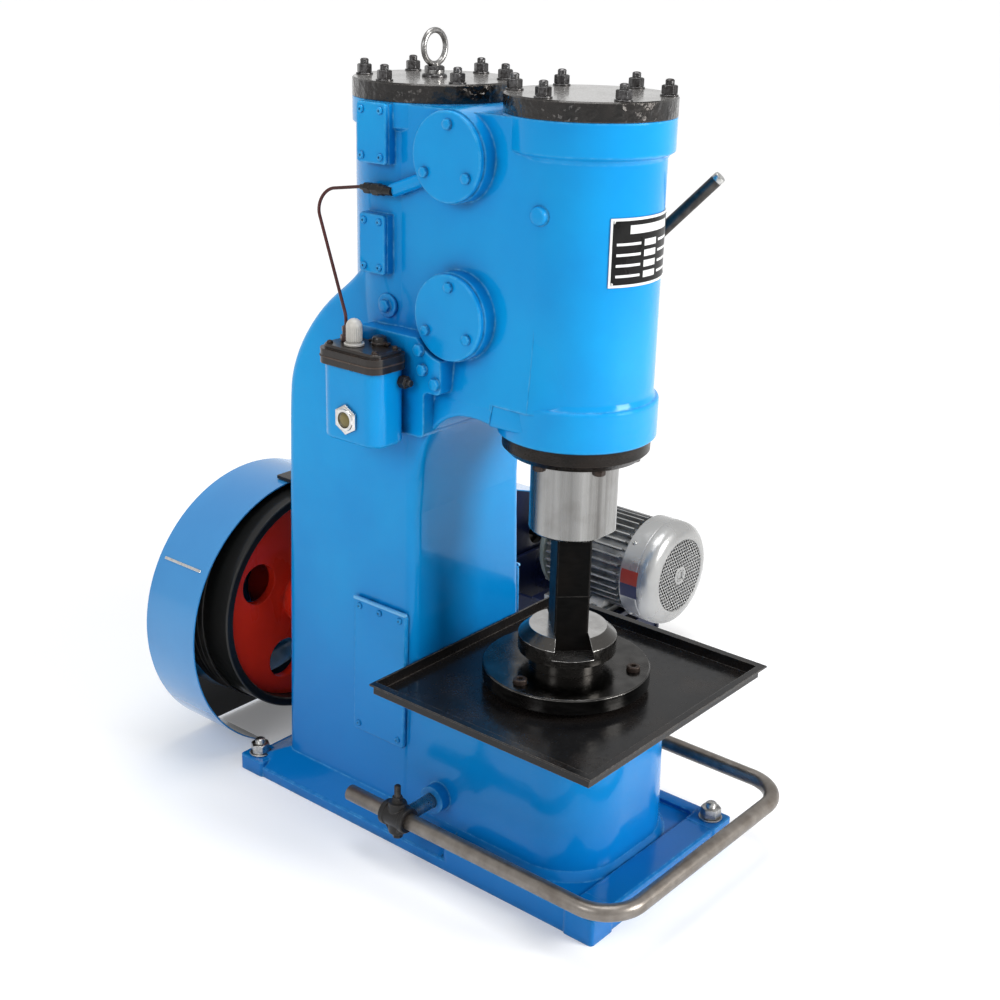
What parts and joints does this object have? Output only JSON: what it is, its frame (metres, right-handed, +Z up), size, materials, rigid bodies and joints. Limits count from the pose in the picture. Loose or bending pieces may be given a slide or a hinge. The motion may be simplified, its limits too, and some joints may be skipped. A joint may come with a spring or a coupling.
{
  "type": "power hammer",
  "caption": "Self-contained pneumatic forging hammer: C-shaped cast body with ram and compressor cylinders, anvil, scale tray, belt-driven crank wheel, motor and foot treadle.",
  "frame": {"origin": "on the floor, under the ram axis, at the bed plate's flat underside", "axes": "+Z up along the ram axis, +Y from the ram towards the column and the belt wheel at the rear, +X to the operator's right, where the motor is"},
  "size_m": [1.0595, 1.011, 1.2492],
  "materials": {
    "blue_paint": "glossy sky-blue machine enamel over cast iron",
    "guard_paint": "glossy light blue enamel on sheet steel",
    "dark_steel": "dark oiled machined iron",
    "bright_steel": "ground bare steel",
    "die_steel": "blackened tool steel",
    "black_sheet": "black semi-gloss painted sheet",
    "wheel_black": "black painted cast rim",
    "wheel_red": "dark red gloss paint",
    "belt_rubber": "matt black belt rubber",
    "motor_grey": "silver-grey sprayed paint",
    "pulley_iron": "turned dark iron",
    "bare_tube": "bare drawn steel with light rust tone",
    "black_iron": "black painted iron",
    "tank_paint": "glossy sky-blue enamel on sheet steel",
    "navy_paint": "dark navy enamel on welded steel",
    "shield_grey": "grey-green sprayed paint on cast aluminium",
    "oil_tube_red": "dark red-brown coated thin oil tube",
    "cap_grey": "grey moulded filler cap",
    "glass_chrome": "plated hexagon ring around a sight glass",
    "plate_black": "black printed plate with a pale border, no lettering",
    "lid_brown": "dark brown-black painted casting"
  },
  "bodies": {
    "frame": {"body_casting": "blue_paint", "work_cover": "dark_steel", "compressor_cover": "dark_steel", "eye_bolt": "bright_steel", "gland_ring": "dark_steel", "lower_die": "die_steel", "anvil_cap": "bright_steel", "anvil_ring": "dark_steel", "tray": "black_sheet", "valve_covers_left": "blue_paint", "valve_covers_right": "blue_paint", "port_covers": "blue_paint", "oil_fitting": "black_iron", "oil_tube": "oil_tube_red", "handle_boss": "blue_paint", "bearing_cap": "blue_paint", "belt_guard": "guard_paint", "guard_plate": "navy_paint", "guard_bracket": "black_sheet", "belt": "belt_rubber", "motor_body": "motor_grey", "terminal_box": "motor_grey", "motor_end_shield": "shield_grey", "fan_cover": "motor_grey", "motor_stand": "navy_paint", "oil_tank": "tank_paint", "oil_tank_lid": "lid_brown", "filler_cap": "cap_grey", "tube_union": "black_iron", "sight_glass": "glass_chrome", "name_plate": "plate_black", "access_covers": "blue_paint"},
    "hammer": {"ram": "bright_steel", "upper_die": "die_steel"},
    "crank_wheel": {"crank_shaft": "bright_steel", "wheel_rim": "wheel_black", "wheel_web": "wheel_red"},
    "motor_rotor": {"motor_pulley": "pulley_iron"},
    "treadle": {"treadle_bar": "bare_tube", "treadle_clamps": "black_iron", "cross_shaft": "bright_steel", "rod_pin": "bare_tube"},
    "link": {"link_rod": "bare_tube"},
    "valve": {"valve_lever": "bare_tube"},
    "handle": {"control_handle": "bare_tube"}
  },
  "joints": [
    {"name": "ram_slide", "type": "slide", "parent": "frame", "child": "hammer", "axis": [0, 0, 1], "range_m": [0, 0.19]},
    {"name": "crank_spin", "type": "hinge", "parent": "frame", "child": "crank_wheel", "pos_m": [0, 0.656, 0.262], "axis": [0, 1, 0], "continuous": true},
    {"name": "motor_spin", "type": "hinge", "parent": "frame", "child": "motor_rotor", "pos_m": [0.692, 0.655, 0.182], "axis": [0, 1, 0], "continuous": true},
    {"name": "treadle_press", "type": "hinge", "parent": "frame", "child": "treadle", "pos_m": [0, 0.137, 0.092], "axis": [1, 0, 0], "range_deg": [0, 7], "stiffness_Nm_per_rad": 400},
    {"name": "link_swing", "type": "hinge", "parent": "treadle", "child": "link", "pos_m": [0.17, 0.262, 0.1], "axis": [1, 0, 0], "range_deg": [-7, 0]},
    {"name": "valve_turn", "type": "hinge", "parent": "frame", "child": "valve", "pos_m": [0.13, 0.133, 0.87], "axis": [1, 0, 0], "range_deg": [0, 7]},
    {"name": "handle_turn", "type": "hinge", "parent": "frame", "child": "handle", "pos_m": [0.13, 0.045, 0.905], "axis": [1, 0, 0], "range_deg": [-35, 10]}
  ],
  "couplings": [
    {"joint": "motor_spin", "follows": "crank_spin", "ratio": 3.9231},
    {"joint": "link_swing", "follows": "treadle_press", "ratio": -1},
    {"joint": "valve_turn", "follows": "treadle_press", "ratio": 0.969}
  ]
}
